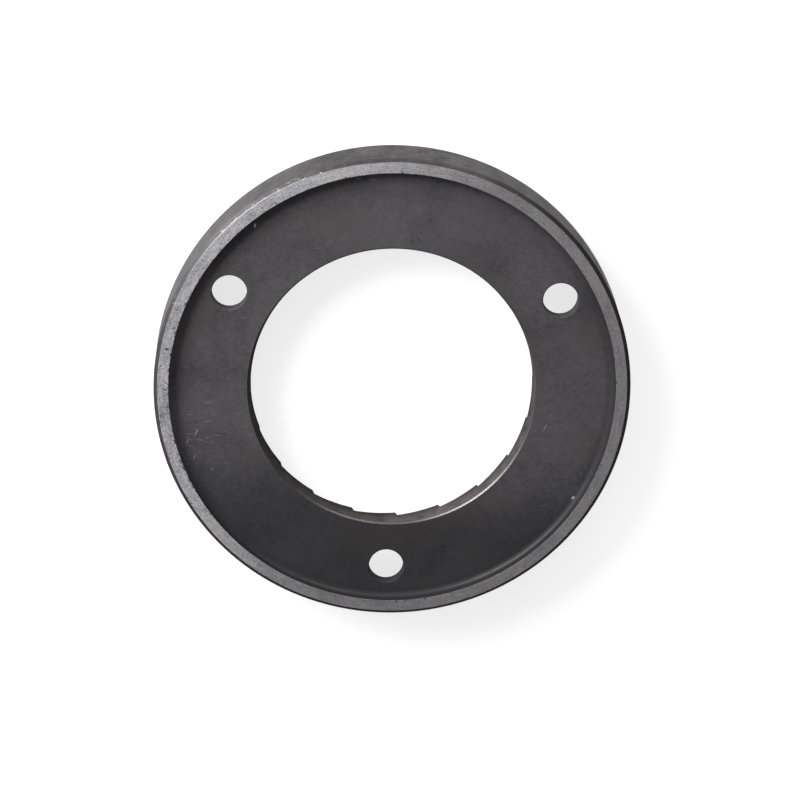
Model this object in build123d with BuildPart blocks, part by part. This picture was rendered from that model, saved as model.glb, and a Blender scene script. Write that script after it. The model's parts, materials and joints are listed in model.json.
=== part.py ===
"""A flat burr of a coffee grinder: one ring of tool steel, lying with its teeth down.

The lands of the teeth rest on z = 0, the seating rim of the back is at the top, and the axis is Z.
Seen from above, every wall of the toothed side swings counterclockwise on its way to the bore.
"""
import math
import os

from build123d import *

# Ring, in mm
outer_d = 98.0
bore_d = 58.0
mouth_flare = 0.7
mouth_depth = 2.6
thickness = 11.7
rim_width = 3.1
recess_depth = 2.2
back_chamfer = 0.78
edge_break = 0.15
foot_fillet = 1.1

# Screw holes, countersunk from the toothed side
screw_count = 3
screw_circle_d = 78.2
screw_d = 6.0
screw_clearance = 1.2
head_d = 11.2
head_clearance = 0.4
screw_seat = 3.0
screw_turn = 90.0

# Fine teeth: flat triangular lands with a steep wall and a sloping groove between them
tooth_margin = 0.5
land_length = 4.2
tooth_height = 1.75
wall_tilt = 19.0
wall_draft = 12.0
teeth_per_breaker = 4
runout_radius = 33.5
runout_height = 3.0

# Breakers: the long steps from the fine teeth to the bore, with a gullet in front of each
breaker_count = 20
breaker_turn = 8.3
crest_height = 4.2
gullet_height = 5.8
gullet_start_height = 2.9
gullet_end_slope = 34.0
tool_overlap = 0.5

outer_r = outer_d / 2
bore_r = bore_d / 2
mouth_r = bore_r + mouth_flare
rim_inner_r = outer_r - rim_width
floor_z = thickness - recess_depth
screw_hole_r = (screw_d + screw_clearance) / 2
head_r = (head_d + head_clearance) / 2
seat_z = floor_z - screw_seat
head_z = seat_z - (head_r - screw_hole_r)
tooth_count = breaker_count * teeth_per_breaker
tooth_turn = 2 * math.pi / tooth_count
gullet_turn = 2 * math.pi / breaker_count
tip_r = outer_r - tooth_margin
land_tip_r = tip_r - land_length
tilt = math.radians(wall_tilt)
draft = math.radians(wall_draft)
wall_offset = tip_r * math.sin(tilt)
inward = Vector(-math.cos(tilt), math.sin(tilt), 0)
across = Vector(math.sin(tilt), math.cos(tilt), 0)


def lean(radius: float) -> float:
    """Angle between a straight wall and the radial direction where it crosses a radius."""
    return math.asin(wall_offset / radius)


def run_to(radius: float, turn: float = 0.0) -> float:
    """Length in plan, along a wall from its outer tip, to a radius on the wall turned by an angle."""
    return tip_r * math.cos(tilt) - radius * math.cos(lean(radius) + turn)


def across_to(radius: float, turn: float) -> float:
    """Distance in plan, square to a wall, to a radius on the wall turned by an angle."""
    return radius * math.sin(lean(radius) + turn) - wall_offset


def wall_plane(run: float, height: float) -> Plane:
    """Plane across a wall: its X leads into the groove, its Y leads down, its Z leads to the bore."""
    return Plane(origin=Vector(tip_r, 0, height) + inward * run, x_dir=across, z_dir=inward)


def cut_wedge(start: float, end: float, height: float, rise: float, slope: float) -> None:
    """Extrude a wedge along a wall: steep at the wall, open below and sloping down away from it.

    The wedge's top edge runs from start to end, begins at a height and climbs by rise per length.
    """
    drop = max(height, height + rise * (end - start)) + tool_overlap
    with BuildSketch(wall_plane(start, height)) as section:
        with BuildLine():
            Polyline((0, 0), (-drop * math.tan(draft), drop), (drop / slope, drop), close=True)
        make_face()
    path = inward + Vector(0, 0, rise)
    extrude(section.sketch, amount=(end - start) * path.length, dir=path.normalized())


# One fine groove: rising to its full height behind the land, then running out towards the bore
land_run = run_to(land_tip_r)
runout_run = run_to(runout_radius)
groove_rise = tooth_height / land_run
runout_rise = (runout_height - tooth_height) / (runout_run - land_run)
groove_fall = tooth_height + runout_rise * (run_to(land_tip_r, tooth_turn) - land_run)
groove_slope = groove_fall / across_to(land_tip_r, tooth_turn)
with BuildPart() as groove:
    cut_wedge(-tool_overlap, land_run, -tool_overlap * groove_rise, groove_rise, groove_slope)
    cut_wedge(land_run, runout_run, tooth_height, runout_rise, groove_slope)

# One gullet: the wide wedge in front of a breaker, closed by a cone behind the lands, open to the bore
# and falling to the next breaker's crest there
end_slope = math.tan(math.radians(gullet_end_slope))
gullet_start_run = run_to(land_tip_r - gullet_start_height / end_slope)
gullet_rise = (gullet_height - gullet_start_height) / (run_to(bore_r) - gullet_start_run)
gullet_tip_height = gullet_start_height - gullet_start_run * gullet_rise
gullet_fall = gullet_height - crest_height + gullet_rise * (run_to(bore_r, gullet_turn) - run_to(bore_r))
gullet_slope = gullet_fall / across_to(bore_r, gullet_turn)
gullet_end_run = run_to(bore_r, gullet_turn) + tool_overlap
cone_height = gullet_height + tool_overlap
cone_spread = cone_height / end_slope
with BuildPart() as gullet:
    cut_wedge(0, gullet_end_run, gullet_tip_height, gullet_rise, gullet_slope)
    Cone(land_tip_r + cone_spread, land_tip_r - cone_spread, 2 * cone_height, mode=Mode.INTERSECT)

# One screw hole: clearance for the shank, a countersink for the head and room to sink it below the teeth
with BuildPart() as screw_hole:
    with BuildSketch(Plane.XZ):
        with BuildLine():
            Polyline(
                (0, floor_z),
                (screw_hole_r + edge_break, floor_z),
                (screw_hole_r, floor_z - edge_break),
                (screw_hole_r, seat_z),
                (head_r, head_z),
                (head_r, -tool_overlap),
                (0, -tool_overlap),
                close=True,
            )
        make_face()
    revolve(axis=Axis.Z)

# The ring: seating rim and recess on the back, a flared bore, the cone of the breakers' crests below
with BuildPart() as burr:
    with BuildSketch(Plane.XZ) as profile:
        with BuildLine():
            Polyline(
                (bore_r, crest_height),
                (land_tip_r, 0),
                (outer_r, 0),
                (outer_r, thickness - back_chamfer),
                (outer_r - back_chamfer, thickness),
                (rim_inner_r + edge_break, thickness),
                (rim_inner_r, thickness - edge_break),
                (rim_inner_r, floor_z),
                (mouth_r + edge_break, floor_z),
                (mouth_r, floor_z - edge_break),
                (bore_r, floor_z - mouth_depth),
                close=True,
            )
        make_face()
        fillet(profile.vertices().sort_by_distance((rim_inner_r, floor_z))[0], radius=foot_fillet)
    revolve(axis=Axis.Z)
    with PolarLocations(0, tooth_count, start_angle=breaker_turn):
        add(groove.part, mode=Mode.SUBTRACT)
    with PolarLocations(0, breaker_count, start_angle=breaker_turn):
        add(gullet.part, mode=Mode.SUBTRACT)
    with PolarLocations(screw_circle_d / 2, screw_count, start_angle=screw_turn):
        add(screw_hole.part, mode=Mode.SUBTRACT)

burr.part.label = "burr"
os.makedirs("parts", exist_ok=True)
export_step(burr.part, "parts/burr.step")
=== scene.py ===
"""Looks of a flat coffee grinder burr: one ring of tool steel that lies with its teeth down.

The ring is one closed surface, worked out as a grid of rows round its section and columns round its
axis. On the toothed side the columns follow the walls of the teeth, so that their edges stay sharp.
Lengths in the classes are millimetres and angles radians, unless a docstring says otherwise.
"""
import json
import logging
import math
from abc import ABC, abstractmethod
from dataclasses import dataclass
from enum import IntEnum

import bpy
import numpy as np
from bpy.types import Material, Node, NodeSocket, NodeTree, Object
from mathutils import Matrix, Vector


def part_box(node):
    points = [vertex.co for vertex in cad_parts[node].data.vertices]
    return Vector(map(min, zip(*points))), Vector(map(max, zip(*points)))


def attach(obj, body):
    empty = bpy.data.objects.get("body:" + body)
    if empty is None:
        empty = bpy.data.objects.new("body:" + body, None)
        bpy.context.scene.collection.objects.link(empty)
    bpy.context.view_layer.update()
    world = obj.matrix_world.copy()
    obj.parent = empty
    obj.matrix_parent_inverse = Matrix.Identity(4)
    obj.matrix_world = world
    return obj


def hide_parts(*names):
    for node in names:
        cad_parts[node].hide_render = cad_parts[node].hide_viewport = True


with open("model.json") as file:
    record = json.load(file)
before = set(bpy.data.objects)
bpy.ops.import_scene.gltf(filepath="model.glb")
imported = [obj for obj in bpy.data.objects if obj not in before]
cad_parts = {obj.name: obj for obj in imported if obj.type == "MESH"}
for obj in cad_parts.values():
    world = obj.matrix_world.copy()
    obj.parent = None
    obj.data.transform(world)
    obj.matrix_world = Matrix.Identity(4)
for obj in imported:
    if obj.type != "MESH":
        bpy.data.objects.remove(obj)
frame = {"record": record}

MM = 0.001
UP = (0.0, 0.0, 1.0)
IN_PLAN = (1.0, 1.0, 0.0)
WHITE = "#ffffff"
LOG = logging.getLogger("burr")

Source = Node | NodeSocket | float | tuple
Span = tuple[float, float]
Triple = tuple[float, float, float]


class Surface(IntEnum):
    """The finishes of the ring, in the order of its material slots."""

    CAST = 0
    GROUND = 1
    TURNED = 2
    BORED = 3
    TEETH = 4


class Mix(IntEnum):
    """Sockets of a mix node, by number because numbers and colours share their names."""

    FACTOR = 0
    A = 2
    B = 3
    COLOUR_A = 6
    COLOUR_B = 7


def linear(code: str) -> tuple[float, float, float, float]:
    """Turn an sRGB hex colour into linear light.

    Args:
        code: six hex digits after a number sign.

    Returns:
        Red, green, blue and an alpha of 1.
    """
    srgb = np.array([int(code[i:i + 2], 16) for i in (1, 3, 5)]) / 255
    light = np.where(srgb <= 0.04045, srgb / 12.92, ((srgb + 0.055) / 1.055) ** 2.4)
    return (*light.tolist(), 1.0)


def add_node(tree: NodeTree, kind: str, inputs: dict[str | int, Source] | None = None,
             **settings: object) -> Node:
    """Add a node with its settings, values and links.

    Args:
        tree: the node tree that takes the node.
        kind: Blender's name of the node type, after ShaderNode.
        inputs: by name or number of the socket, a value, the socket that it comes from, or a node,
            which gives its first enabled output.
        settings: properties of the node.

    Returns:
        The new node.
    """
    node = tree.nodes.new(f"ShaderNode{kind}")
    for name, value in settings.items():
        setattr(node, name, value)
    for name, value in (inputs or {}).items():
        if isinstance(value, Node):
            value = next(socket for socket in value.outputs if socket.enabled)
        if isinstance(value, NodeSocket):
            tree.links.new(value, node.inputs[name])
        else:
            node.inputs[name].default_value = value
    return node


def new_material(name: str) -> tuple[Material, NodeTree]:
    """Start a node material.

    Args:
        name: the material's name.

    Returns:
        The material and its empty tree.
    """
    material = bpy.data.materials.new(name)
    material.use_nodes = True
    material.node_tree.nodes.clear()
    return material, material.node_tree


def new_piece(name: str, points: np.ndarray, faces: list[list[int]]) -> Object:
    """Put a computed surface into a mesh object at the origin.

    Args:
        name: the object's name.
        points: one row of three millimetres for each point.
        faces: corner numbers of each face.

    Returns:
        The object, linked to the scene.
    """
    mesh = bpy.data.meshes.new(name)
    mesh.from_pydata((points * MM).tolist(), [], faces)
    mesh.validate()
    piece = bpy.data.objects.new(name, mesh)
    bpy.context.scene.collection.objects.link(piece)
    return piece


def rounded_path(corners: list[Triple], arc_step: float) -> np.ndarray:
    """Round the corners of an open path of straight runs.

    Each inner corner becomes an arc that is tangent to its two runs: its centre lies on the bisector,
    at the radius divided by the sine of half the corner's angle.

    Args:
        corners: x, y and rounding radius of each corner; the ends keep their points.
        arc_step: largest turn between two points of an arc.

    Returns:
        The path's points as rows of x and y.
    """
    spots = np.array([complex(x, y) for x, y, _ in corners])
    pieces = [spots[:1]]
    for before, spot, after, (_, _, radius) in zip(spots, spots[1:], spots[2:], corners[1:]):
        back = (before - spot) / abs(before - spot)
        ahead = (after - spot) / abs(after - spot)
        half = abs(np.angle(ahead / back)) / 2
        middle = spot + (back + ahead) / abs(back + ahead) * radius / math.sin(half)
        start = spot + back * radius / math.tan(half) - middle
        turn = np.angle((spot + ahead * radius / math.tan(half) - middle) / start)
        steps = max(1, math.ceil(abs(turn) / arc_step))
        pieces.append(middle + start * np.exp(1j * turn * np.linspace(0, 1, steps + 1)))
    pieces.append(spots[-1:])
    path = np.concatenate(pieces)
    return np.column_stack([path.real, path.imag])


def divided(path: np.ndarray, longest: float, guard: float) -> np.ndarray:
    """Divide the long runs of a path evenly, with a point close to each end so that they shade flat.

    Args:
        path: points as rows of x and y.
        longest: no run of the result is longer than this.
        guard: distance of the close points from the ends of a run.

    Returns:
        The path with the points added.
    """
    runs = []
    for a, b in zip(path, path[1:]):
        length = math.dist(a, b)
        share = np.linspace(0, 1, math.ceil(length / longest), endpoint=False)
        if length > 4 * guard:
            share = np.union1d(share, [guard / length, 1 - guard / length])
        runs.append(a + (b - a) * share[:, None])
    return np.concatenate([*runs, path[-1:]])


@dataclass
class ToothPattern:
    """Heights of the toothed side above the plane of its lands.

    Every wall is straight in plan and leans away from the radius. From its foot a groove falls away at
    a constant slope. Fine walls run out behind the lands, and every fourth goes on as a breaker to the
    bore, with a gullet in front of it.
    """

    bore_r: float
    outer_r: float
    tooth_margin: float = 0.5
    land_length: float = 4.2
    tooth_height: float = 1.75
    wall_tilt: float = math.radians(19.0)
    wall_draft: float = math.radians(12.0)
    breaker_count: int = 20
    teeth_per_breaker: int = 4
    runout_r: float = 33.5
    runout_height: float = 3.0
    breaker_turn: float = math.radians(8.3)
    crest_height: float = 4.2
    gullet_height: float = 5.8
    gullet_start_height: float = 2.9
    gullet_end_slope: float = math.radians(34.0)
    crest_gap: float = 0.02

    def __post_init__(self) -> None:
        """Work out the pitches, runs, rises and slopes of the walls."""
        self.gullet_pitch = 2 * math.pi / self.breaker_count
        self.pitch = self.gullet_pitch / self.teeth_per_breaker
        self.tip_r = self.outer_r - self.tooth_margin
        self.land_tip_r = self.tip_r - self.land_length
        self.wall_offset = self.tip_r * math.sin(self.wall_tilt)
        self.land_run = self.run_to(self.land_tip_r)
        self.runout_run = self.run_to(self.runout_r)
        self.groove_rise = self.tooth_height / self.land_run
        runout_climb = self.runout_height - self.tooth_height
        self.runout_rise = runout_climb / (self.runout_run - self.land_run)
        groove_fall = self.tooth_height + self.runout_rise * (
            self.run_to(self.land_tip_r, self.pitch) - self.land_run)
        self.groove_slope = groove_fall / self.across_to(self.land_tip_r, self.pitch)
        self.end_slope = math.tan(self.gullet_end_slope)
        start_run = self.run_to(self.land_tip_r - self.gullet_start_height / self.end_slope)
        bore_run = self.run_to(self.bore_r)
        self.gullet_rise = (self.gullet_height - self.gullet_start_height) / (bore_run - start_run)
        self.gullet_tip_height = self.gullet_start_height - start_run * self.gullet_rise
        gullet_fall = self.gullet_height - self.crest_height + self.gullet_rise * (
            self.run_to(self.bore_r, self.gullet_pitch) - bore_run)
        self.gullet_slope = gullet_fall / self.across_to(self.bore_r, self.gullet_pitch)

    def lean(self, radius: np.ndarray | float) -> np.ndarray:
        """Angle between a wall and the radius: the arc sine of the wall's offset over the radius."""
        return np.arcsin(self.wall_offset / radius)

    def run_to(self, radius: float, turn: float = 0.0) -> float:
        """Length along a wall from its tip to a radius on the wall turned by an angle."""
        return self.tip_r * math.cos(self.wall_tilt) - radius * math.cos(self.lean(radius) + turn)

    def across_to(self, radius: float, turn: float) -> float:
        """Distance square to a wall to a radius on the wall turned by an angle."""
        return radius * math.sin(self.lean(radius) + turn) - self.wall_offset

    def wedge(self, top: np.ndarray, across: np.ndarray, slope: float) -> np.ndarray:
        """Height of a cut: its top less the slope in front of the wall, or the draft behind it."""
        return top - np.where(across > 0, slope * across, -across / math.tan(self.wall_draft))

    def height(self, radius: np.ndarray, angle: np.ndarray, wall: int) -> np.ndarray:
        """Height of the surface in the pitch in front of a wall.

        In a wall's own frame a point lies at the run s = R cos(tilt) - r cos(a) and at n = r sin(a) -
        R sin(tilt) across, with a the angle from the wall's tip plus the tilt. The surface is the
        highest of the crest cone, the grooves and the gullets, which a cone closes behind the lands.

        Args:
            radius: radii of the points.
            angle: angles of the points from the first wall's tip.
            wall: number of the wall that the pitch lies in front of.

        Returns:
            The heights.
        """
        cone = self.crest_height * (self.land_tip_r - radius) / (self.land_tip_r - self.bore_r)
        highest = np.maximum(cone, 0.0)
        breaker = wall - wall % self.teeth_per_breaker
        for number in range(breaker - self.teeth_per_breaker, wall + 1):
            turned = angle - number * self.pitch + self.wall_tilt
            run = self.tip_r * math.cos(self.wall_tilt) - radius * np.cos(turned)
            across = radius * np.sin(turned) - self.wall_offset
            behind_land = self.tooth_height + self.runout_rise * (run - self.land_run)
            top = np.where(run < self.land_run, self.groove_rise * run, behind_land)
            cut = self.wedge(top, across, self.groove_slope)
            highest = np.maximum(highest, np.where(run < self.runout_run, cut, 0.0))
            if number % self.teeth_per_breaker == 0:
                gullet_top = self.gullet_tip_height + self.gullet_rise * run
                gullet = self.wedge(gullet_top, across, self.gullet_slope)
                closed = np.minimum(gullet, self.end_slope * (self.land_tip_r - radius))
                highest = np.maximum(highest, closed)
        return highest

    def sector(self, radii: np.ndarray, columns: int) -> tuple[np.ndarray, np.ndarray]:
        """Work out one breaker's sector on a grid whose columns follow the walls.

        The columns of a pitch go evenly from the foot of its wall to the crest of the next wall, which
        stands back by the wall's height times the tangent of its draft.

        Args:
            radii: radius of each row.
            columns: columns in each pitch.

        Returns:
            Angles and heights, with a row for each radius.
        """
        radius = radii[:, None]
        share = np.linspace(0, 1, columns)[None, :]
        angles, heights = [], []
        for wall in range(self.teeth_per_breaker):
            foot = wall * self.pitch + self.lean(radius) - self.wall_tilt
            ahead = foot + self.pitch
            step = self.height(radius, ahead, wall + 1) - self.height(radius, ahead, wall)
            back = np.maximum(step * math.tan(self.wall_draft), self.crest_gap)
            crest_lean = np.arcsin((self.wall_offset - back) / radius)
            crest = (wall + 1) * self.pitch - self.wall_tilt + crest_lean
            angle = foot + (crest - foot) * share
            angles.append(angle)
            heights.append(self.height(radius, angle, wall))
        return np.concatenate(angles, axis=1), np.concatenate(heights, axis=1)


@dataclass(frozen=True)
class Coat:
    """What a finish gives its shader: layers over the base, the relief and the other sockets."""

    layers: list[tuple[Source, str]]
    relief: Source
    sockets: dict[str, Source]


@dataclass(frozen=True, kw_only=True)
class Finish(ABC):
    """What the steel finishes share: a dark base under layers of colour, and a fine relief."""

    name: str
    dark: str
    roughness: float
    rough_swing: float = 0.1
    bump_mm: float
    bump_strength: float

    @abstractmethod
    def coat(self, tree: NodeTree, place: NodeSocket) -> Coat:
        """Work out the finish.

        Args:
            tree: the material's tree.
            place: coordinates on the ring.

        Returns:
            The coat for the shader.
        """

    def rough(self, tree: NodeTree, wear: Node) -> Node:
        """Roughness that falls from a little over its value to a little under it with the wear."""
        most, least = self.roughness + self.rough_swing, self.roughness - self.rough_swing
        return add_node(tree, "MapRange", {"Value": wear, "To Min": most, "To Max": least})

    def material(self) -> Material:
        """Build the material: the coat's layers over the dark base, its relief and the shader.

        Returns:
            The new material.
        """
        material, tree = new_material(self.name)
        coat = self.coat(tree, add_node(tree, "TexCoord").outputs["Object"])
        colour = linear(self.dark)
        for share, code in coat.layers:
            colour = add_node(tree, "Mix", {
                Mix.FACTOR: share, Mix.COLOUR_A: colour, Mix.COLOUR_B: linear(code)},
                data_type="RGBA")
        bump = add_node(tree, "Bump", {
            "Height": coat.relief, "Strength": self.bump_strength, "Distance": self.bump_mm * MM})
        shader = add_node(tree, "BsdfPrincipled", {
            "Base Color": colour, "Normal": bump, **coat.sockets})
        add_node(tree, "OutputMaterial", {"Surface": shader})
        return material


@dataclass(frozen=True)
class Mark:
    """A short mark on the back: middle, length and width, turn in degrees, colour and strength.

    It is full in its middle, out to the core's share of its half size, and soft at its edge.
    """

    x: float
    y: float
    length: float
    width: float
    turn: float
    colour: str
    strength: float
    core: float = 0.3

    def share(self, tree: NodeTree, place: NodeSocket) -> Node:
        """Work out how much the mark covers of each place: its ellipse is the unit circle, scaled.

        Args:
            tree: the material's tree.
            place: the coordinates that the mark is placed in.

        Returns:
            The node that gives the share.
        """
        local = add_node(tree, "Mapping", {
            "Vector": place, "Location": (self.x * MM, self.y * MM, 0.0),
            "Rotation": (0.0, 0.0, math.radians(self.turn)),
            "Scale": (self.length / 2 * MM, self.width / 2 * MM, 1.0)}, vector_type="TEXTURE")
        away = add_node(tree, "VectorMath", {0: local}, operation="LENGTH")
        return add_node(tree, "MapRange", {
            "Value": away, "From Min": self.core, "From Max": 1.0,
            "To Min": self.strength, "To Max": 0.0})


# A wide pale patch of painted light on the floor's -Y side, nicks down to bare steel, faint scuffs,
# and pits of the casting.
BACK_MARKS = (
    # Painted light: the floor paler towards -Y.
    Mark(-8.0, -34.5, 52.0, 26.0, 12.0, "#565457", 0.26),
    Mark(28.9, -33.8, 1.3, 0.5, 80.0, "#b9b8bd", 0.9),
    Mark(-38.4, 23.1, 1.0, 0.7, 50.0, "#c4c3c8", 0.9),
    Mark(8.2, -44.1, 1.6, 0.6, 10.0, "#7c7b80", 0.35),
    Mark(5.2, -44.0, 2.6, 0.5, -6.0, "#7c7b80", 0.3),
    Mark(40.1, 10.6, 2.2, 0.4, 62.0, "#8d8b8e", 0.45),
    Mark(41.9, 12.6, 2.4, 0.3, 75.0, "#8d8b8e", 0.4),
    Mark(40.4, 16.0, 1.6, 0.3, 70.0, "#8d8b8e", 0.4),
    Mark(36.6, 18.6, 1.3, 0.3, 40.0, "#8d8b8e", 0.35),
    Mark(-31.9, 7.9, 2.6, 0.5, 65.0, "#838183", 0.3),
    Mark(-3.1, -31.3, 1.3, 1.0, 30.0, "#262628", 0.6),
    Mark(-4.3, -31.8, 1.0, 0.6, -40.0, "#262628", 0.7),
    Mark(-6.5, -35.8, 1.5, 1.2, 20.0, "#2a2a2c", 0.55),
    Mark(-39.9, -3.8, 1.3, 0.5, -30.0, "#29292b", 0.7),
    Mark(-24.8, 34.0, 0.9, 0.7, 0.0, "#242426", 0.6),
)


@dataclass(frozen=True)
class Fade:
    """A change across the ring: over a zone along a direction, from one share to another."""

    side: Triple
    zone: Span
    shares: Span = (0.0, 1.0)
    smooth: bool = False

    def share(self, tree: NodeTree, place: NodeSocket) -> Node:
        """Work out the share at each place p from its length d . p along the direction d.

        Args:
            tree: the material's tree.
            place: coordinates on the ring.

        Returns:
            The node that gives the share.
        """
        along = add_node(tree, "VectorMath", {0: place, 1: self.side}, operation="DOT_PRODUCT")
        return add_node(tree, "MapRange", {
            "Value": along, "From Min": self.zone[0] * MM, "From Max": self.zone[1] * MM,
            "To Min": self.shares[0], "To Max": self.shares[1]},
            interpolation_type="SMOOTHSTEP" if self.smooth else "LINEAR")


@dataclass(frozen=True, kw_only=True)
class CastSkin(Finish):
    """Cast tool steel under its dark oxide skin: matt, cloudy and grainy, with painted shade.

    Painted shade darkens the floor towards +Y, and the rim's foot most towards -X and +Y.
    """

    foot_r: float
    name: str = "cast_tool_steel_oxide"
    dark: str = "#2c2b2d"
    pale: str = "#4d4b4e"
    warm: str = "#423e3d"
    warm_share: float = 0.55
    metallic: float = 0.1
    gloss: float = 0.06
    roughness: float = 0.68
    bump_mm: float = 0.015
    bump_strength: float = 0.5
    cloud_mm: float = 17.0
    smudge_mm: float = 4.5
    smudge_weight: float = 0.4
    grain_mm: float = 0.9
    grain_weight: float = 0.35
    pit: str = "#262627"
    pit_mm: float = 1.5
    pit_share: float = 0.5
    scratch: str = "#7a787b"
    scratch_mm: float = 0.45
    scratch_turn: float = math.radians(32.0)
    scratch_stretch: Triple = (0.2, 1.0, 1.0)
    scratch_share: float = 0.28
    scuffed: Triple = (38.5, 12.0, 9.5)
    scuff_zone: Span = (2.0, 13.0)
    scuff_gain: float = 0.09
    # Colour of the painted shade on the floor and along the rim's foot.
    painted_shade: str = "#1b1b1c"
    # Painted shade: the floor darker towards +Y.
    floor_side_shade: Fade = Fade((0.1, 1.0, 0.0), (14.0, 32.0), (0.0, 0.6), smooth=True)
    # Painted shade along the rim's foot, most towards -X and +Y, over these depths from the foot.
    foot_shade: Fade = Fade((-0.71, 0.71, 0.0), (-25.0, 20.0), (0.0, 0.62))
    foot_shade_depths: Span = (2.4, 0.5)
    oil_full: float = 0.6
    oil_gloss: float = 0.2
    oil_smoothing: float = -0.4
    marks: tuple[Mark, ...] = BACK_MARKS

    def coat(self, tree: NodeTree, place: NodeSocket) -> Coat:
        """Work out the clouds of oxide, smudges, grain, pits, hairlines, the marks with a patch of
        painted light, and the painted shade.

        Args:
            tree: the material's tree.
            place: coordinates on the ring.

        Returns:
            The coat for the shader.
        """
        cloud = add_node(tree, "TexNoise", {
            "Vector": place, "Scale": 1 / (self.cloud_mm * MM), "Detail": 4.0, "Distortion": 0.7})
        patches = add_node(tree, "MapRange", {"Value": cloud, "From Min": 0.36, "From Max": 0.64})
        smudge = add_node(tree, "TexNoise", {
            "Vector": place, "Scale": 1 / (self.smudge_mm * MM), "Detail": 4.0, "Roughness": 0.6})
        # The real grain is finer: it is drawn as coarse as it needs to be to show.
        grain = add_node(tree, "TexNoise", {
            "Vector": place, "Scale": 1 / (self.grain_mm * MM), "Detail": 3.0, "Roughness": 0.65})
        grit = add_node(tree, "MapRange", {"Value": grain, "From Min": 0.3, "From Max": 0.7})
        uneven = add_node(tree, "Mix", {Mix.FACTOR: self.smudge_weight, Mix.A: patches, Mix.B: smudge})
        mottle = add_node(tree, "Mix", {Mix.FACTOR: self.grain_weight, Mix.A: uneven, Mix.B: grit})
        rust = add_node(tree, "MapRange", {
            "Value": cloud.outputs["Color"], "From Min": 0.5, "From Max": 0.62,
            "To Max": self.warm_share})

        spots = add_node(tree, "TexNoise", {
            "Vector": place, "Scale": 1 / (self.pit_mm * MM), "Detail": 1.0})
        pits = add_node(tree, "MapRange", {
            "Value": spots, "From Min": 0.75, "From Max": 0.84, "To Max": self.pit_share})
        drawn = add_node(tree, "Mapping", {
            "Vector": place, "Rotation": (0.0, 0.0, self.scratch_turn), "Scale": self.scratch_stretch})
        lines = add_node(tree, "TexNoise", {
            "Vector": drawn, "Scale": 1 / (self.scratch_mm * MM), "Detail": 1.0})
        away = add_node(tree, "VectorMath", {
            0: place, 1: tuple(length * MM for length in self.scuffed)}, operation="DISTANCE")
        rubbed = add_node(tree, "MapRange", {
            "Value": away, "From Min": self.scuff_zone[0] * MM, "From Max": self.scuff_zone[1] * MM,
            "To Min": self.scuff_gain, "To Max": 0.0})
        thick = add_node(tree, "Math", {0: lines, 1: rubbed}, operation="ADD")
        hairlines = add_node(tree, "MapRange", {
            "Value": thick, "From Min": 0.72, "From Max": 0.84, "To Max": self.scratch_share})

        flat = add_node(tree, "VectorMath", {0: place, 1: IN_PLAN}, operation="MULTIPLY")
        radius = add_node(tree, "VectorMath", {0: flat}, operation="LENGTH")
        # Painted shade along the rim's foot, which is also made glossier there.
        near_foot = add_node(tree, "MapRange", {
            "Value": radius, "From Min": (self.foot_r - self.foot_shade_depths[0]) * MM,
            "From Max": (self.foot_r - self.foot_shade_depths[1]) * MM}, interpolation_type="SMOOTHSTEP")
        foot_shade_and_oil = add_node(tree, "Math", {
            0: near_foot, 1: self.foot_shade.share(tree, place)}, operation="MULTIPLY")

        rough = add_node(tree, "Math", {
            0: foot_shade_and_oil, 1: self.oil_smoothing, 2: self.rough(tree, mottle)}, operation="MULTIPLY_ADD")
        gloss = add_node(tree, "MapRange", {
            "Value": foot_shade_and_oil, "From Max": self.oil_full, "To Min": self.gloss, "To Max": self.oil_gloss})
        # The last two layers are painted shade.
        layers = [(mottle, self.pale), (rust, self.warm), (pits, self.pit), (hairlines, self.scratch),
                  *((mark.share(tree, place), mark.colour) for mark in self.marks),
                  (self.floor_side_shade.share(tree, place), self.painted_shade), (foot_shade_and_oil, self.painted_shade)]
        return Coat(layers, grain, {
            "Metallic": self.metallic, "Roughness": rough, "Specular IOR Level": gloss})


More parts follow.
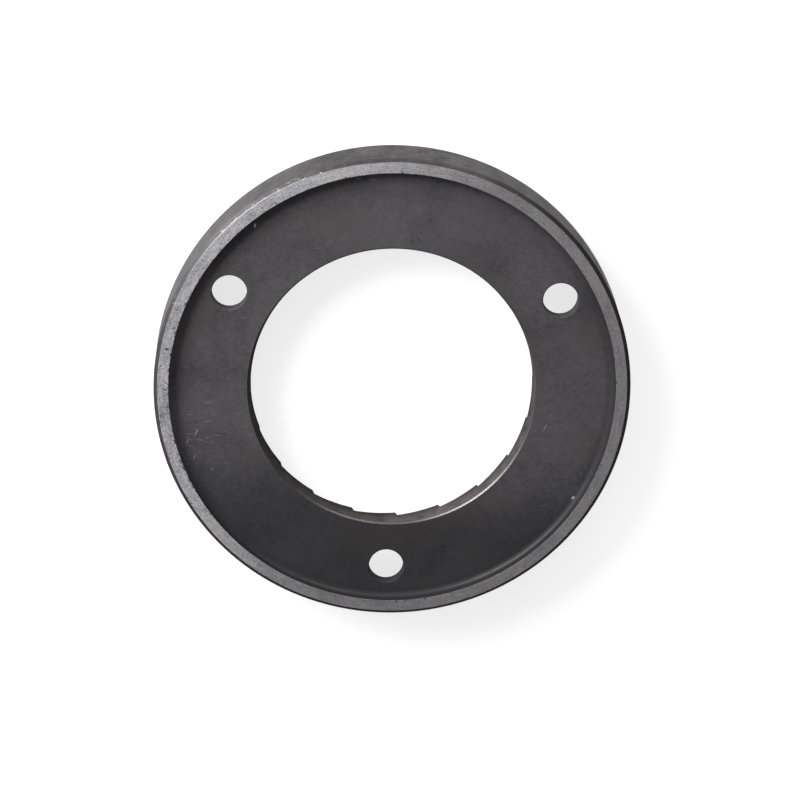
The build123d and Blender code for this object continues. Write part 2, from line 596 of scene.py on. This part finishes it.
@dataclass(frozen=True, kw_only=True)
class GroundSeat(Finish):
    """Ground tool steel: pale grey and grainy, with painted shade on one side, specked at its inner
    edge.
    """

    inner_r: float
    name: str = "ground_tool_steel"
    dark: str = "#7c7b7e"
    pale: str = "#c7c6cb"
    warm: str = "#9f9690"
    warm_share: float = 0.4
    metallic: float = 1.0
    roughness: float = 0.8
    bump_mm: float = 0.015
    bump_strength: float = 0.5
    grain_mm: float = 0.36
    ring_mm: float = 0.35
    ring_stretch: Triple = (0.08, 0.08, 0.0)
    ring_weight: float = 0.3
    cloud_mm: float = 8.0
    cloud_weight: float = 0.3
    # Painted shade on the rim, most towards -X.
    rim_shade: str = "#656261"
    rim_shade_side: Fade = Fade((-0.93, 0.37, 0.0), (-26.0, 2.0), (0.0, 0.6))
    speck: str = "#3c3a3c"
    speck_mm: float = 0.75
    speck_share: float = 0.75
    speck_depth: float = 1.2
    speck_gain: float = 0.12
    rubbed: Fade = Fade((1.0, 0.1, 0.0), (34.0, 45.0), (0.0, 0.09))

    def coat(self, tree: NodeTree, place: NodeSocket) -> Coat:
        """Work out the grain over faint rings, clouds of wear, specks at the inner edge, and painted
        shade on one side.

        Args:
            tree: the material's tree.
            place: coordinates on the ring.

        Returns:
            The coat for the shader.
        """
        flat = add_node(tree, "VectorMath", {0: place, 1: IN_PLAN}, operation="MULTIPLY")
        radius = add_node(tree, "VectorMath", {0: flat}, operation="LENGTH")
        # The grit is finer: grain and rings are drawn as coarse as they need to be to show.
        grain = add_node(tree, "TexNoise", {
            "Vector": place, "Scale": 1 / (self.grain_mm * MM), "Detail": 3.0, "Roughness": 0.7})
        lift = add_node(tree, "CombineXYZ", {"Z": radius})
        round_about = add_node(tree, "VectorMath", {
            0: flat, 1: self.ring_stretch, 2: lift}, operation="MULTIPLY_ADD")
        rings = add_node(tree, "TexNoise", {
            "Vector": round_about, "Scale": 1 / (self.ring_mm * MM), "Detail": 2.0})
        cloud = add_node(tree, "TexNoise", {
            "Vector": place, "Scale": 1 / (self.cloud_mm * MM), "Detail": 5.0, "Roughness": 0.6})
        cut = add_node(tree, "Mix", {Mix.FACTOR: self.ring_weight, Mix.A: grain, Mix.B: rings})
        wear = add_node(tree, "Mix", {Mix.FACTOR: self.cloud_weight, Mix.A: cut, Mix.B: cloud})
        contrast = add_node(tree, "MapRange", {"Value": wear, "From Min": 0.37, "From Max": 0.63})
        rust = add_node(tree, "MapRange", {
            "Value": cloud, "From Min": 0.52, "From Max": 0.66, "To Max": self.warm_share})

        spots = add_node(tree, "TexNoise", {
            "Vector": place, "Scale": 1 / (self.speck_mm * MM), "Detail": 2.0})
        near = add_node(tree, "MapRange", {
            "Value": radius, "From Min": self.inner_r * MM,
            "From Max": (self.inner_r + self.speck_depth) * MM,
            "To Min": self.speck_gain, "To Max": 0.0})
        edge = add_node(tree, "Math", {0: spots, 1: near}, operation="ADD")
        worn = add_node(tree, "Math", {0: edge, 1: self.rubbed.share(tree, place)}, operation="ADD")
        specks = add_node(tree, "MapRange", {
            "Value": worn, "From Min": 0.73, "From Max": 0.8, "To Max": self.speck_share})

        # The third layer is painted shade, towards -X.
        layers = [(contrast, self.pale), (rust, self.warm),
                  (self.rim_shade_side.share(tree, place), self.rim_shade), (specks, self.speck)]
        return Coat(layers, cut, {"Metallic": self.metallic, "Roughness": self.rough(tree, wear)})


@dataclass(frozen=True, kw_only=True)
class TurnedWall(Finish):
    """Turned tool steel: warm dark grey with faint bands and smears, bare nicks at a worn edge, and
    can have a painted glint along it.

    Its bevel takes its own colour, least on the lit side, which can be painted paler; on the outer
    wall that colour is painted shade.
    Painted shade can also lie low on the wall or on one side.
    """

    edge_z: float
    chamfer: float
    # Side of the nicks, and of the painted glint along the top edge.
    wear_and_glint_side: Triple
    # Side towards which painted shade darkens the wall.
    painted_shade_side: Triple
    name: str = "turned_tool_steel"
    dark: str = "#3d3a3b"
    pale: str = "#696566"
    metallic: float = 0.7
    edge_metallic: float = 0.7
    gloss: float = 0.5
    gloss_tint: str = "#808080"
    roughness: float = 0.5
    bump_mm: float = 0.01
    bump_strength: float = 0.4
    band_mm: float = 0.4
    band_stretch: Triple = (0.2, 0.2, 1.0)
    band_weight: float = 0.45
    smear_mm: float = 3.0
    smear_stretch: Triple = (1.0, 1.0, 0.3)
    cloud_mm: float = 7.0
    cloud_weight: float = 0.5
    # Painted light: the wall paler towards +X and -Y, the lit side.
    painted_light: str = "#8a8a8d"
    lit_side: Triple = (0.9, -0.43, 0.0)
    painted_light_zone: Span = (35.0, 49.0)
    painted_light_share: float = 0.0
    # Colour of the bevel, least on the lit side: painted shade on the outer wall, the mouth's steel in
    # the bore.
    shade: str = "#262220"
    shade_blend: float = 0.1
    shade_zone: Span = (0.0, 32.0)
    shade_shares: Span = (0.92, 0.58)
    # Painted shade, deeper down the wall and towards one side.
    painted_shade: str = "#151414"
    painted_shade_zone: Span = (0.0, 24.0)
    painted_shade_share: float = 0.4
    deep_shade_depths: Span = (5.0, 1.0)
    deep_shade_share: float = 0.0
    # Bare steel of the nicks and of the painted glint.
    bare_and_glint: str = "#b4b2b6"
    nick_mm: float = 0.3
    nick_stretch: Triple = (0.35, 0.35, 1.0)
    nick_share: float = 0.6
    nick_depth: float = 1.3
    nick_gains: Span = (-0.2, 0.04)
    worn_zone: Span = (30.0, 47.0)
    worn_gains: Span = (-0.08, 0.06)
    # A painted glint: bare steel's colour in a line along the top edge, on the worn side.
    glint_depths: Span = (0.22, 0.06)
    glint_zone: Span = (44.0, 48.0)
    glint_share: float = 0.0

    def coat(self, tree: NodeTree, place: NodeSocket) -> Coat:
        """Work out the bands, upright smears, clouds, painted light, the bevel's colour, painted
        shade, and the worn edge with its painted glint.

        Args:
            tree: the material's tree.
            place: coordinates on the ring.

        Returns:
            The coat for the shader.
        """
        banded = add_node(tree, "VectorMath", {0: place, 1: self.band_stretch}, operation="MULTIPLY")
        # The feed marks are finer: they are drawn as coarse as they need to be to show.
        bands = add_node(tree, "TexNoise", {
            "Vector": banded, "Scale": 1 / (self.band_mm * MM), "Detail": 3.0, "Roughness": 0.7})
        upright = add_node(tree, "VectorMath", {0: place, 1: self.smear_stretch}, operation="MULTIPLY")
        smears = add_node(tree, "TexNoise", {
            "Vector": upright, "Scale": 1 / (self.smear_mm * MM), "Detail": 4.0})
        cloud = add_node(tree, "TexNoise", {
            "Vector": place, "Scale": 1 / (self.cloud_mm * MM), "Detail": 5.0, "Roughness": 0.6})
        uneven = add_node(tree, "Mix", {Mix.FACTOR: self.cloud_weight, Mix.A: smears, Mix.B: cloud})
        wear = add_node(tree, "Mix", {Mix.FACTOR: self.band_weight, Mix.A: uneven, Mix.B: bands})
        contrast = add_node(tree, "MapRange", {"Value": wear, "From Min": 0.36, "From Max": 0.64})

        bevel_z = self.edge_z - self.chamfer
        deep_shade_zone, glint_heights = (
            (self.edge_z - depths[0], self.edge_z - depths[1])
            for depths in (self.deep_shade_depths, self.glint_depths))
        # In order: the bevel, painted light, the bevel's share by side, painted shade low and to one
        # side, the nicks' edge and side, and the painted glint's height and side.
        bevel, lit_paler, shade_by_side, low, side_shade, near, there, crest, glint_side_share = (
            fade.share(tree, place) for fade in (
                Fade(UP, (bevel_z - self.shade_blend, bevel_z + self.shade_blend)),
                Fade(self.lit_side, self.painted_light_zone, (0.0, self.painted_light_share)),
                Fade(self.lit_side, self.shade_zone, self.shade_shares),
                Fade(UP, deep_shade_zone, (self.deep_shade_share, 0.0)),
                Fade(self.painted_shade_side, self.painted_shade_zone, (0.0, self.painted_shade_share), smooth=True),
                Fade(UP, (self.edge_z - self.nick_depth, self.edge_z), self.nick_gains),
                Fade(self.wear_and_glint_side, self.worn_zone, self.worn_gains),
                Fade(UP, glint_heights, (0.0, self.glint_share)),
                Fade(self.wear_and_glint_side, self.glint_zone)))
        metal = add_node(tree, "Mix", {
            Mix.FACTOR: bevel, Mix.A: self.metallic, Mix.B: self.edge_metallic})
        # The bevel's colour by side, which is painted shade on the outer wall.
        bevel_shade_share = add_node(tree, "Math", {0: bevel, 1: shade_by_side}, operation="MULTIPLY")

        nicked = add_node(tree, "VectorMath", {0: place, 1: self.nick_stretch}, operation="MULTIPLY")
        nicks = add_node(tree, "TexNoise", {
            "Vector": nicked, "Scale": 1 / (self.nick_mm * MM), "Detail": 2.0})
        edge = add_node(tree, "Math", {0: nicks, 1: near}, operation="ADD")
        worn = add_node(tree, "Math", {0: edge, 1: there}, operation="ADD")
        scratches = add_node(tree, "MapRange", {
            "Value": worn, "From Min": 0.66, "From Max": 0.78, "To Max": self.nick_share})
        # The painted glint along the top edge, joined with the nicks.
        glint_line = add_node(tree, "Math", {0: crest, 1: glint_side_share}, operation="MULTIPLY")
        nicks_and_glint = add_node(tree, "Math", {0: scratches, 1: glint_line}, operation="MAXIMUM")

        # Paler is painted light, the bevel's colour is painted shade on the outer wall, low and the
        # next layer are painted shade, and the bare steel holds nicks and a painted glint.
        layers = [(contrast, self.pale), (lit_paler, self.painted_light), (bevel_shade_share, self.shade),
                  (low, self.painted_shade), (side_shade, self.painted_shade), (nicks_and_glint, self.bare_and_glint)]
        return Coat(layers, bands, {
            "Metallic": metal, "Roughness": self.rough(tree, wear),
            "Specular IOR Level": self.gloss, "Specular Tint": linear(self.gloss_tint)})


@dataclass(frozen=True, kw_only=True)
class MilledTeeth(Finish):
    """Milled tool steel: brownish grey grooves with fine marks, and paler lands, ground flat."""

    name: str = "milled_tool_steel"
    dark: str = "#3a3734"
    pale: str = "#5a5651"
    metallic: float = 0.8
    roughness: float = 0.45
    bump_mm: float = 0.01
    bump_strength: float = 0.4
    mark_mm: float = 0.5
    cloud_mm: float = 6.0
    cloud_weight: float = 0.55
    land: str = "#86858a"
    flats: Fade = Fade(UP, (0.0, 0.05), (0.8, 0.0))

    def coat(self, tree: NodeTree, place: NodeSocket) -> Coat:
        """Work out the milling marks and clouds in the grooves, and bare steel on the lands.

        Args:
            tree: the material's tree.
            place: coordinates on the ring.

        Returns:
            The coat for the shader.
        """
        # The milling marks are finer: they are drawn as coarse as they need to be to show.
        marks = add_node(tree, "TexNoise", {
            "Vector": place, "Scale": 1 / (self.mark_mm * MM), "Detail": 3.0})
        cloud = add_node(tree, "TexNoise", {
            "Vector": place, "Scale": 1 / (self.cloud_mm * MM), "Detail": 5.0, "Roughness": 0.6})
        wear = add_node(tree, "Mix", {Mix.FACTOR: self.cloud_weight, Mix.A: marks, Mix.B: cloud})
        contrast = add_node(tree, "MapRange", {"Value": wear, "From Min": 0.35, "From Max": 0.65})
        layers = [(contrast, self.pale), (self.flats.share(tree, place), self.land)]
        return Coat(layers, marks, {"Metallic": self.metallic, "Roughness": self.rough(tree, wear)})


@dataclass
class BurrRing:
    """The whole ring: toothed side, outer wall, seating rim, recess, bore and screw holes."""

    outer_r: float
    thickness: float
    bore_r: float
    screw_circle_r: float
    screw_hole_r: float
    screw_count: int
    rim_width: float = 3.1
    recess_depth: float = 2.2
    back_chamfer: float = 0.78
    chamfer_round: float = 0.08
    rim_round: float = 0.12
    foot_fillet: float = 1.4
    mouth_flare: float = 0.7
    mouth_depth: float = 2.6
    mouth_break: float = 0.3
    mouth_round: float = 0.1
    bore_wear: float = 0.12
    throat_round: float = 0.8
    screw_turn: float = math.radians(90.0)
    head_r: float = 6.15
    screw_seat: float = 3.0
    hole_round: float = 0.2
    tool_overlap: float = 1.0
    pitch_columns: int = 9
    tooth_rows: int = 58
    arc_step: float = math.radians(19.0)
    longest_run: float = 2.6
    guard: float = 0.06
    hole_columns: int = 96
    crease: float = math.radians(25.0)

    def __post_init__(self) -> None:
        """Work out the levels and the tooth pattern."""
        self.floor_z = self.thickness - self.recess_depth
        self.rim_inner_r = self.outer_r - self.rim_width
        self.throat_r = self.bore_r + self.bore_wear
        self.mouth_r = self.bore_r + self.mouth_flare + self.mouth_break / 2
        self.pattern = ToothPattern(self.bore_r, self.outer_r)

    def section(self) -> np.ndarray:
        """Lay out the section from the tooth tips round the back to the end of the bore's flare.

        Returns:
            Radius and height of each row.
        """
        teeth = self.pattern
        corners = [
            (teeth.tip_r, 0.0, 0.0),
            (self.outer_r, 0.0, self.chamfer_round),
            (self.outer_r, self.thickness - self.back_chamfer, self.chamfer_round),
            (self.outer_r - self.back_chamfer, self.thickness, self.chamfer_round),
            (self.rim_inner_r, self.thickness, self.rim_round),
            (self.rim_inner_r, self.floor_z, self.foot_fillet),
            (self.mouth_r, self.floor_z, self.mouth_round / 2),
            (self.mouth_r - self.mouth_break, self.floor_z - self.mouth_break, self.mouth_round),
            (self.throat_r, self.floor_z - self.mouth_depth, self.throat_round),
            (self.throat_r, teeth.gullet_height, 0.0),
        ]
        return divided(rounded_path(corners, self.arc_step), self.longest_run, self.guard)

    def surface(self) -> tuple[np.ndarray, np.ndarray, np.ndarray]:
        """Work out the closed grid of the ring.

        A point's place is (r cos a, r sin a, z). On the toothed rows the angle follows the walls. On
        the rows round the back it is even, and it turns with the floor from the tips' angles to the
        bore's.

        Returns:
            Points as an array of rows, columns and three millimetres, the finish of each row of faces,
            and whether each row of faces is on the flats of the teeth.
        """
        teeth = self.pattern
        radii = np.linspace(self.throat_r, teeth.tip_r, self.tooth_rows)
        angles, heights = teeth.sector(radii, self.pitch_columns)
        sector_columns = teeth.teeth_per_breaker * self.pitch_columns
        even = np.arange(sector_columns) / self.pitch_columns * teeth.pitch
        back = self.section()[1:-1]
        bore_turn = float(teeth.lean(self.throat_r)) - teeth.wall_tilt
        share = np.clip((self.rim_inner_r - back[:, 0]) / (self.rim_inner_r - self.mouth_r), 0, 1)
        back_angles = even[None, :] + bore_turn * share[:, None]
        radius = np.concatenate([radii, back[:, 0]])
        angle = np.concatenate([angles, back_angles])
        height = np.concatenate([heights, np.repeat(back[:, 1:], sector_columns, axis=1)])
        starts = np.arange(teeth.breaker_count) * teeth.gullet_pitch + teeth.breaker_turn
        angle = (starts[None, :, None] + angle[:, None, :]).reshape(len(radius), -1)
        height = np.tile(height, (1, teeth.breaker_count))
        radius = radius[:, None]
        points = np.stack([radius * np.cos(angle), radius * np.sin(angle), height], axis=2)
        return points, *self.row_finishes(radius[:, 0], height.max(axis=1))

    def row_finishes(self, radius: np.ndarray, height: np.ndarray) -> tuple[np.ndarray, np.ndarray]:
        """Choose the finish of each row of faces from the middle of the row and the next one.

        Args:
            radius: radius of each row of points.
            height: highest point of each row of points.

        Returns:
            The finish of each row of faces, and whether it is on the flats of the teeth.
        """
        middle_r = (radius + np.roll(radius, -1)) / 2
        middle_z = (height + np.roll(height, -1)) / 2
        on_top = middle_z > self.thickness - self.rim_round / 6
        finish = np.full(len(radius), Surface.CAST)
        finish[middle_r > self.rim_inner_r + self.rim_round / 2] = Surface.TURNED
        finish[on_top & (middle_r > self.rim_inner_r)] = Surface.GROUND
        finish[middle_r > self.outer_r - self.back_chamfer] = Surface.TURNED
        finish[middle_r < self.mouth_r] = Surface.BORED
        on_teeth = np.arange(len(radius)) < self.tooth_rows - 1
        finish[on_teeth] = Surface.TEETH
        return finish, on_teeth

    def body(self) -> Object:
        """Build the ring without its holes: each face joins four neighbours of the closed grid.

        Returns:
            The ring's object.
        """
        points, finish, flat = self.surface()
        rows, columns = points.shape[:2]
        number = np.arange(rows * columns).reshape(rows, columns)
        right = np.roll(number, -1, axis=1)
        above = np.roll(number, -1, axis=0)
        corner = np.roll(above, -1, axis=1)
        faces = np.stack([number, right, corner, above], axis=2).reshape(-1, 4)
        piece = new_piece("burr_steel", points.reshape(-1, 3), faces.tolist())
        slots = np.repeat(finish, columns).astype(np.int32)
        piece.data.polygons.foreach_set("material_index", slots)
        piece.data.polygons.foreach_set("use_smooth", np.repeat(~flat, columns))
        return piece

    def hole_tool(self, number: int) -> Object:
        """Build the body that one screw hole takes out: a profile turned about the hole's axis.

        With r and z from the profile, a point's place is (x + r cos t, y + r sin t, z).

        Args:
            number: which hole of the circle.

        Returns:
            The tool's object.
        """
        seat_z = self.floor_z - self.screw_seat
        corners = [
            (self.screw_hole_r + self.hole_round, self.floor_z + self.tool_overlap, 0.0),
            (self.screw_hole_r + self.hole_round, self.floor_z, self.hole_round / 4),
            (self.screw_hole_r, self.floor_z - self.hole_round, self.hole_round / 2),
            (self.screw_hole_r, seat_z, self.hole_round),
            (self.head_r, seat_z - (self.head_r - self.screw_hole_r), self.hole_round),
            (self.head_r, -self.tool_overlap, 0.0),
        ]
        path = rounded_path(corners, self.arc_step)[::-1]
        turn = np.arange(self.hole_columns) * 2 * math.pi / self.hole_columns
        place = self.screw_turn + number * 2 * math.pi / self.screw_count
        points = np.stack([
            self.screw_circle_r * math.cos(place) + path[:, :1] * np.cos(turn),
            self.screw_circle_r * math.sin(place) + path[:, :1] * np.sin(turn),
            np.repeat(path[:, 1:], self.hole_columns, axis=1)], axis=2)
        grid = np.arange(points.shape[0] * self.hole_columns).reshape(points.shape[:2])
        right = np.roll(grid, -1, axis=1)
        sides = np.stack([grid[:-1], right[:-1], right[1:], grid[1:]], axis=2).reshape(-1, 4)
        caps = [grid[0, ::-1].tolist(), grid[-1].tolist()]
        return new_piece(f"hole_tool_{number}", points.reshape(-1, 3), sides.tolist() + caps)

    def cut_holes(self, piece: Object) -> None:
        """Take the screw holes out of the ring, and keep the result as its mesh.

        Args:
            piece: the ring, which gets a mesh of triangles.
        """
        tools = [self.hole_tool(number) for number in range(self.screw_count)]
        for tool in tools:
            cut = piece.modifiers.new(tool.name, "BOOLEAN")
            cut.operation, cut.solver, cut.object = "DIFFERENCE", "EXACT", tool
        # Even triangles leave no slivers where the holes meet the teeth.
        split = piece.modifiers.new("triangles", "TRIANGULATE")
        split.ngon_method, split.quad_method = "BEAUTY", "BEAUTY"
        graph = bpy.context.evaluated_depsgraph_get()
        mesh = bpy.data.meshes.new_from_object(piece.evaluated_get(graph))
        piece.modifiers.clear()
        piece.data = mesh
        mesh.name = piece.name
        for tool in tools:
            bpy.data.objects.remove(tool)

    def dress(self, piece: Object) -> None:
        """Give the ring its finishes, in the order of the surfaces.

        Args:
            piece: the ring.
        """
        finishes = {
            Surface.CAST: CastSkin(foot_r=self.rim_inner_r),
            Surface.GROUND: GroundSeat(inner_r=self.rim_inner_r),
            # The outer wall takes painted light on its lit side, and a painted glint along its top
            # edge.
            Surface.TURNED: TurnedWall(
                edge_z=self.thickness, chamfer=self.back_chamfer, wear_and_glint_side=(0.67, -0.74, 0.0),
                painted_shade_side=(0.0, 0.0, 0.0), painted_light_share=0.28, glint_share=0.3),
            # The bore takes painted shade deeper down and towards +X and +Y.
            Surface.BORED: TurnedWall(
                edge_z=self.floor_z, chamfer=self.mouth_break, wear_and_glint_side=(-0.5, 0.87, 0.0),
                painted_shade_side=(0.87, 0.5, 0.0), name="bored_tool_steel", dark="#343231",
                pale="#5a5654", shade="#5f5d60", metallic=0.0, edge_metallic=1.0, deep_shade_share=0.5,
                gloss=0.0, roughness=0.42),
            Surface.TEETH: MilledTeeth(),
        }
        for surface in Surface:
            piece.data.materials.append(finishes[surface].material())

    def build(self) -> Object:
        """Build, dress and cut the ring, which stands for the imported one, and keep its edges crisp.

        Returns:
            The ring's object.
        """
        piece = self.body()
        self.dress(piece)
        self.cut_holes(piece)
        piece.data.set_sharp_from_angle(angle=self.crease)
        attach(piece, "root")
        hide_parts("burr")
        return piece


@dataclass(frozen=True, kw_only=True)
class WhitePaper:
    """White paper under the ring: matt, it takes shadows and glows a little to the eye."""

    name: str = "white_paper"
    colour: str = "#a0a0a0"
    roughness: float = 0.9
    gloss: float = 0.1
    glow: float = 0.75

    def material(self) -> Material:
        """Build the material: it glows where it is seen, in reflections too, but lights nothing.

        Returns:
            The new material.
        """
        material, tree = new_material(self.name)
        ray = add_node(tree, "LightPath").outputs
        seen = add_node(tree, "Math", {
            0: ray["Is Camera Ray"], 1: ray["Is Glossy Ray"]}, operation="MAXIMUM")
        seen = add_node(tree, "Math", {
            0: seen, 1: ray["Is Transmission Ray"]}, operation="MAXIMUM")
        glow = add_node(tree, "Math", {0: seen, 1: self.glow}, operation="MULTIPLY")
        shader = add_node(tree, "BsdfPrincipled", {
            "Base Color": linear(self.colour), "Roughness": self.roughness,
            "Specular IOR Level": self.gloss, "Emission Color": linear(WHITE),
            "Emission Strength": glow})
        add_node(tree, "OutputMaterial", {"Surface": shader})
        return material


@dataclass(frozen=True)
class Lamp:
    """A square soft lamp that faces the ring: where it hangs, its angles in degrees, and its watts."""

    name: str
    azimuth: float
    elevation: float
    distance: float
    size: float
    power: float


@dataclass
class Studio:
    """A white table, soft light from the upper left of the picture and the camera above."""

    table_width: float = 20000.0
    table_drop: float = 0.01
    azimuth: float = math.radians(7.121)
    elevation: float = math.radians(72.075)
    roll: float = math.radians(174.51)
    distance: float = 735.94
    aim: Triple = (-2.063, 5.651, 0.0)
    lens: float = 158.613
    sensor: float = 36.0
    sky_dim: float = 0.17
    sky_bright: float = 0.58
    sky_azimuth: float = math.radians(52.0)
    sky_elevation: float = math.radians(35.0)
    sky_fade: Span = (-0.3, 1.0)
    lamps: tuple[Lamp, ...] = (
        Lamp("key", azimuth=48.0, elevation=30.0, distance=600.0, size=350.0, power=7.1),
        Lamp("side", azimuth=-22.0, elevation=10.0, distance=400.0, size=200.0, power=1.1),
    )

    @staticmethod
    def direction(azimuth: float, elevation: float) -> Vector:
        """Unit vector towards an azimuth, counted from -Y to +X, and an elevation."""
        flat = math.cos(elevation)
        return Vector((math.sin(azimuth) * flat, -math.cos(azimuth) * flat, math.sin(elevation)))

    def build_camera(self) -> None:
        """Place the camera: looking at the aim, then rolled about its own axis."""
        data = bpy.data.cameras.new("camera")
        data.lens, data.sensor_width = self.lens, self.sensor
        camera = bpy.data.objects.new("camera", data)
        bpy.context.scene.collection.objects.link(camera)
        back = self.direction(self.azimuth, self.elevation)
        place = (Vector(self.aim) + back * self.distance) * MM
        level = (-back).to_track_quat("-Z", "Y").to_matrix().to_4x4()
        turn = level @ Matrix.Rotation(self.roll, 4, "Z")
        camera.matrix_world = Matrix.Translation(place) @ turn
        bpy.context.scene.camera = camera

    def build_table(self) -> None:
        """Build the white table, just under the ring."""
        half = self.table_width / 2
        corners = np.array([(-half, -half), (half, -half), (half, half), (-half, half)])
        points = np.column_stack([corners, np.full(len(corners), -self.table_drop)])
        table = new_piece("table", points, [[0, 1, 2, 3]])
        table.data.materials.append(WhitePaper().material())

    def hang(self, lamp: Lamp) -> None:
        """Hang a lamp so that it faces the ring.

        Args:
            lamp: the lamp.
        """
        data = bpy.data.lights.new(lamp.name, "AREA")
        data.shape, data.size, data.energy = "SQUARE", lamp.size * MM, lamp.power
        piece = bpy.data.objects.new(lamp.name, data)
        bpy.context.scene.collection.objects.link(piece)
        towards = self.direction(math.radians(lamp.azimuth), math.radians(lamp.elevation))
        turn = towards.to_track_quat("Z", "Y").to_matrix().to_4x4()
        piece.matrix_world = Matrix.Translation(towards * lamp.distance * MM) @ turn

    def build_sky(self) -> None:
        """Build the even light of the room, which fades away from the lamps' side."""
        world = bpy.data.worlds.new("studio")
        world.use_nodes = True
        tree = world.node_tree
        tree.nodes.clear()
        towards = add_node(tree, "TexCoord").outputs["Generated"]
        side = add_node(tree, "VectorMath", {
            0: towards, 1: tuple(self.direction(self.sky_azimuth, self.sky_elevation))},
            operation="DOT_PRODUCT")
        strength = add_node(tree, "MapRange", {
            "Value": side, "From Min": self.sky_fade[0], "From Max": self.sky_fade[1],
            "To Min": self.sky_dim, "To Max": self.sky_bright}, interpolation_type="SMOOTHSTEP")
        light = add_node(tree, "Background", {"Color": linear(WHITE), "Strength": strength})
        add_node(tree, "OutputWorld", {"Surface": light})
        bpy.context.scene.world = world

    def build(self) -> None:
        """Build the table, the light and the camera."""
        bpy.context.scene.view_settings.view_transform = "Standard"
        self.build_table()
        self.build_sky()
        for lamp in self.lamps:
            self.hang(lamp)
        self.build_camera()


def main() -> None:
    """Build the ring and the studio from the frame and report each piece."""
    logging.basicConfig(level=logging.INFO, format="%(name)s: %(message)s")
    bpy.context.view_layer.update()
    low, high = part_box("burr")
    mounts = {mount["name"]: mount["dims"] for mount in frame["record"]["mounts"]}
    screws = mounts["screw_holes"]
    ring = BurrRing(
        outer_r=(high.x - low.x) / 2 / MM,
        thickness=(high.z - low.z) / MM,
        bore_r=mounts["feed_bore"]["r_mm"],
        screw_circle_r=screws["pcd_mm"] / 2,
        screw_hole_r=screws["hole_r_mm"],
        screw_count=screws["count"],
    )
    piece = ring.build()
    LOG.info("%s: %d points, %d faces", piece.name, len(piece.data.vertices), len(piece.data.polygons))
    Studio().build()


if __name__ == "__main__":
    main()
